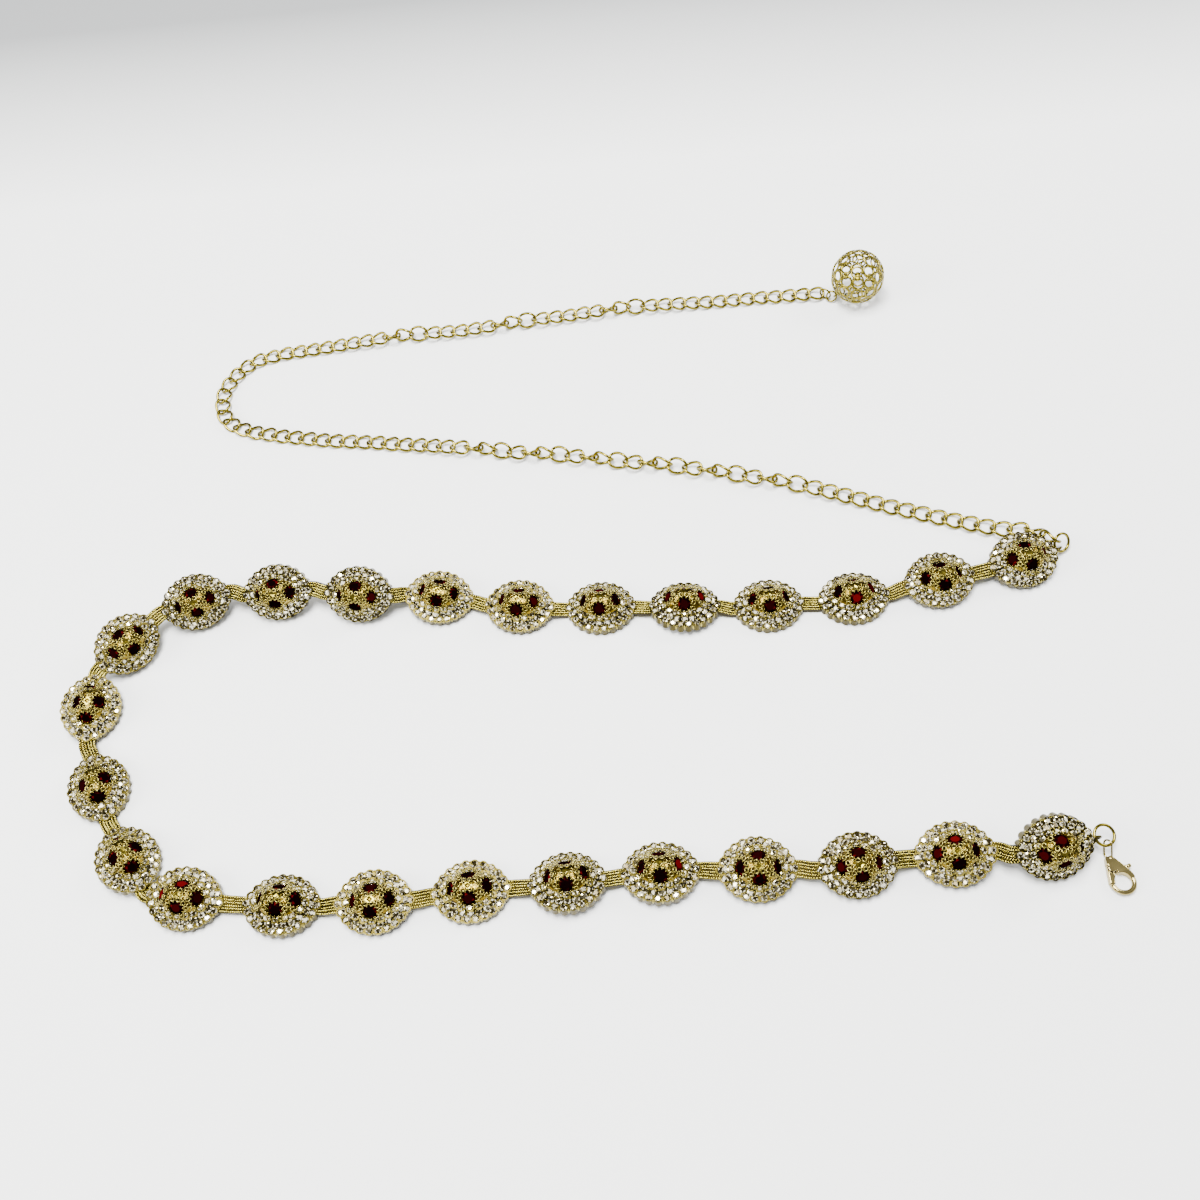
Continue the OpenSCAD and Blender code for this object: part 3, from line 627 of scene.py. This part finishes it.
def dome_shells():
    """The bright yellow skin of each dome, a hair above the solid one and closed inside it."""
    rows, around = SKIN_ROWS, SKIN_AROUND
    low = DOME_H - SKIN_DROP
    turns = [2 * math.pi * j / around for j in range(around)]
    ends = [1 if math.cos(t) > 0 else -1 for t in turns]
    verts = []
    for i in range(rows):
        q = math.radians(SKIN_LOW_ANGLE + (90 - SKIN_LOW_ANGLE) * i / rows)
        reach = SKIN_R * math.cos(q)
        for t, end in zip(turns, ends):
            x, y = reach * math.cos(t) + end * SKIN_HALF, reach * math.sin(t)
            verts.append((x, y, low + SKIN_R * math.sin(q)))
    tips = {1: len(verts), -1: len(verts) + 1}
    verts += [(SKIN_HALF, 0, low + SKIN_R), (-SKIN_HALF, 0, low + SKIN_R)]
    faces = [tuple(reversed(range(around)))]
    for j in range(around):
        k = (j + 1) % around
        for i in range(rows - 1):
            a, b = i * around + j, i * around + k
            faces.append((a, b, b + around, a + around))
        a, b = (rows - 1) * around + j, (rows - 1) * around + k
        tip, other = tips[ends[j]], tips[ends[k]]
        faces.append((a, b, tip) if tip == other else (a, b, other, tip))
    shell = Shape().add(verts, faces).make("dome_shell")
    attach(scatter("dome_shells", PLACES, shell, DOME), "medallion_gilt")


def strap_line(k, t):
    """Middle, direction, upward side and width side of the strap after medallion k, t from 0 to 1."""
    z = STRAP_T / 2 + STRAP_LIFT
    p, q = PLACES[k] @ Vector((STRAP_HOLD, 0, z)), PLACES[k + 1] @ Vector((-STRAP_HOLD, 0, z))
    ways = [(PLACES[j].to_3x3() @ Vector((1, 0, 0))) for j in (k, k + 1)]
    tops = [(PLACES[j].to_3x3() @ Vector((0, 0, 1))) for j in (k, k + 1)]
    d = (q - p).length

    def at(s):
        a, b = 2 * s ** 3 - 3 * s * s + 1, s ** 3 - 2 * s * s + s
        c, e = 3 * s * s - 2 * s ** 3, s ** 3 - s * s
        return a * p + b * d * ways[0] + c * q + e * d * ways[1]

    way = (at(t + 0.02) - at(t - 0.02)).normalized()
    side = tops[0].lerp(tops[1], t).cross(way).normalized()
    return at(t), way, way.cross(side), side


def strap_braid():
    """Rows of slanted stitches on both sides of the strap, where it shows between medallions."""
    stitch = Shape().bead(STITCH, 4).make("stitch")
    places = []
    for k in range(len(LAY) - 1):
        for face in (1, -1):
            for r in range(BRAID_ROWS):
                across = (r - (BRAID_ROWS - 1) / 2) * STRAP_W / BRAID_ROWS
                slant = turn("Z", STITCH_SLANT if r % 2 else -STITCH_SLANT)
                for i in range(-1, BRAID_STEPS + 1):
                    t = (i + 0.5 * (r % 2)) / BRAID_STEPS
                    mid, way, up, side = strap_line(k, t)
                    m = Matrix((way, side * face, up * face)).transposed().to_4x4()
                    m.translation = mid + side * across + up * face * (STRAP_T / 2 + STITCH_LIFT)
                    places.append(m @ slant)
    attach(scatter("strap_stitches", places, stitch, BRAID, 0.22, 7), "woven_gilt")


def chain_links():
    """Where the curb links lie: the same route, turns and heights as the solids."""
    points = [np.array(p, float) for p in ROUTE]
    steps = [np.linalg.norm(b - a) for a, b in zip(points, points[1:])]
    runs = np.concatenate([[0], np.cumsum(steps)])
    count = int(runs[-1] // LINK_PITCH) + 1
    pitch = runs[-1] / (count - 1)

    def roll(i):
        """How far link i is turned over, in degrees."""
        if i < 2:
            return FIRST_ROLLS[i]
        return TWIST_STEP * sum(1 for a, b in TWISTS for j in range(a + 1, b + 1) if j <= i)

    def own(i):
        """The height of link i's middle when it lies on the floor."""
        q = math.radians(roll(i))
        ts = [math.radians(t) for t in range(0, 360, 10)]
        return LINK_WIRE / 2 + max((LINK_W - LINK_WIRE) / 2 * math.sin(t) * math.sin(q)
                                   + LINK_TWIST * math.sin(2 * t) * math.cos(q) for t in ts)

    owns = [own(i) for i in range(count)]
    middles = []
    for i in range(count):
        s = min(runs[-1], i * pitch)
        j = min(len(steps) - 1, int(np.searchsorted(runs, s + 0.001, "right")) - 1)
        p = points[j] + (points[j + 1] - points[j]) * (s - runs[j]) / steps[j]
        held = max(FIRST_H - FIRST_FALL * i, LAST_H - LAST_FALL * (count - 1 - i))
        near = range(max(0, i - LIFT_REACH), min(count - 1, i + LIFT_REACH) + 1)
        middles.append(np.array([*p, max(held, max(owns[m] - LIFT_FALL * abs(i - m) for m in near))]))
    frames = []
    for i in range(count):
        d = unit(middles[min(count - 1, i + 1)] - middles[max(0, i - 1)])
        left = unit(np.cross(UP, d))
        up = np.cross(d, left)
        q = math.radians(roll(i))
        y, z = left * math.cos(q) + up * math.sin(q), up * math.cos(q) - left * math.sin(q)
        m = Matrix((d, y, z)).transposed().to_4x4()
        m.translation = Vector(middles[i])
        frames.append(m)
    return frames


def curb_link():
    """One twisted link of round wire, a little thicker than the solid one."""
    a, b = (LINK_L - LINK_WIRE) / 2, (LINK_W - LINK_WIRE) / 2
    turns = np.linspace(0, 2 * math.pi, 30, endpoint=False)
    points = [(a * math.cos(t), b * math.sin(t), LINK_TWIST * math.sin(2 * t)) for t in turns]
    return Shape().tube(points, LINK_WIRE / 2 + LINK_EXTRA, 9).make("curb_link")


def curb_chain():
    """Both runs of the curb chain, link by link."""
    frames = chain_links()
    half = len(frames) // 2 + 1
    for name, part in (("curb_chain_lower", frames[:half]), ("curb_chain_upper", frames[half:])):
        attach(scatter("fine_" + name, part, curb_link(), CHAIN), "chain_gilt", name)


def ball_wires():
    """The ball is a net of soldered wire rings, large round the openings and small between them."""
    ball = Shape()
    for lat, n, part, r, wire in BALL_RINGS:
        deep = math.sqrt((BALL_R - wire / 2) ** 2 - r * r)
        for i in range(n):
            spin = turn("Z", (i + part) * 360 / n) @ turn("Y", 90 - lat)
            ball.ring(r, wire, shift(*BALL_AT) @ spin @ shift(0, 0, deep), 20, 6)
    loop = shift(*BALL_LOOP_AT) @ turn("Z", BALL_LOOP_SPIN) @ turn("Y", BALL_LOOP_TIP)
    ball.ring(BALL_LOOP_R, BALL_LOOP_WIRE, loop, 20, 8)
    piece = ball.make("ball_of_wire_rings")
    piece.data.materials.append(YELLOW)
    attach(piece, "ball_gilt", "filigree_ball")


def rounded_clasp():
    """The clasp's two solids again, with their edges worn round as on a cast part."""
    for name, body, slot in (("clasp_body", BODY, "clasp_gilt"), ("clasp_lever", "lever", "lever_gilt")):
        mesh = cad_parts[name].data.copy()
        shape = bmesh.new()
        shape.from_mesh(mesh)
        bmesh.ops.remove_doubles(shape, verts=shape.verts, dist=0.002 * MM)
        shape.to_mesh(mesh)
        shape.free()
        o = show("rounded_" + name, mesh)
        even = o.modifiers.new("even", "REMESH")
        even.mode = "VOXEL"
        even.voxel_size = 0.1 * MM
        soft = o.modifiers.new("soft", "SMOOTH")
        soft.factor = 0.5
        soft.iterations = 13
        settle(o)
        o.data.polygons.foreach_set("use_smooth", [True] * len(o.data.polygons))
        o.data.materials.clear()
        o.data.materials.append(PALE)
        attach(o, slot, name, body=body)


def paint_solids():
    """A finish for every CAD node, also where a piece of the scene stands for it."""
    for name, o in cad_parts.items():
        finish = CHAIN if name.endswith("_ring") else PALE
        for start, own in SOLID_FINISHES.items():
            if name.startswith(start):
                finish = own
        o.data.materials.clear()
        o.data.materials.append(finish)


def camera():
    """The camera at the photo's viewing angle."""
    data = bpy.data.cameras.new("camera")
    data.sensor_fit = "HORIZONTAL"
    data.angle = 2 * math.atan(HALF_FRAME_PX / FOCAL_PX)
    data.clip_start, data.clip_end = 0.01, 20
    o = show("camera", data)
    o.matrix_world = shift(*CAMERA_AT) @ turn("X", 90 - CAMERA_DOWN) @ turn("Z", CAMERA_ROLL)
    bpy.context.scene.camera = o


def area_light(name, at, size, energy):
    """A soft light that looks at the middle of the object."""
    data = bpy.data.lights.new(name, "AREA")
    data.shape = "RECTANGLE"
    data.size, data.size_y = size
    data.energy = energy
    o = show(name, data)
    o.location = at
    o.rotation_euler = (-Vector(at)).to_track_quat("-Z", "Y").to_euler()


def studio():
    """A plain pale floor, darker far back as in the photo, and soft light."""
    f = Finish("pale_floor", Roughness=0.75)
    x = f.node("ShaderNodeSeparateXYZ", {"Vector": f.place()}, out="X")
    y = f.node("ShaderNodeSeparateXYZ", {"Vector": f.place()}, out="Y")
    # Painted shade: the floor is painted darker far back, the fade slanting with x.
    far = ((y + x * FADE_SLANT - FADE_START) * FADE_RATE).clamped()
    f.set("Base Color", f.mix(far, FLOOR_NEAR, FLOOR_SHADE_FAR))
    e = FLOOR_HALF
    corners = [(-e, -e, 0), (e, -e, 0), (e, e, 0), (-e, e, 0)]
    floor = Shape().add(corners, [(0, 1, 2, 3)]).make("floor", smooth=False)
    floor.data.materials.append(f.material)
    world = bpy.data.worlds.new("studio")
    bpy.context.scene.world = world
    world.use_nodes = True
    sky = world.node_tree.nodes["Background"]
    sky.inputs["Color"].default_value = SKY_COLOR
    sky.inputs["Strength"].default_value = SKY_STRENGTH
    area_light("top_light", (-0.08, 0.02, 1.0), (0.6, 0.4), 42.0)
    area_light("left_light", (-0.8, -0.1, 0.5), (0.5, 0.5), 12.0)
    area_light("right_light", (0.8, 0.3, 0.6), (0.4, 0.4), 9.0)


camera()
paint_solids()
stone_rows()
dome_shells()
dome_tops()
strap_braid()
curb_chain()
ball_wires()
rounded_clasp()
studio()
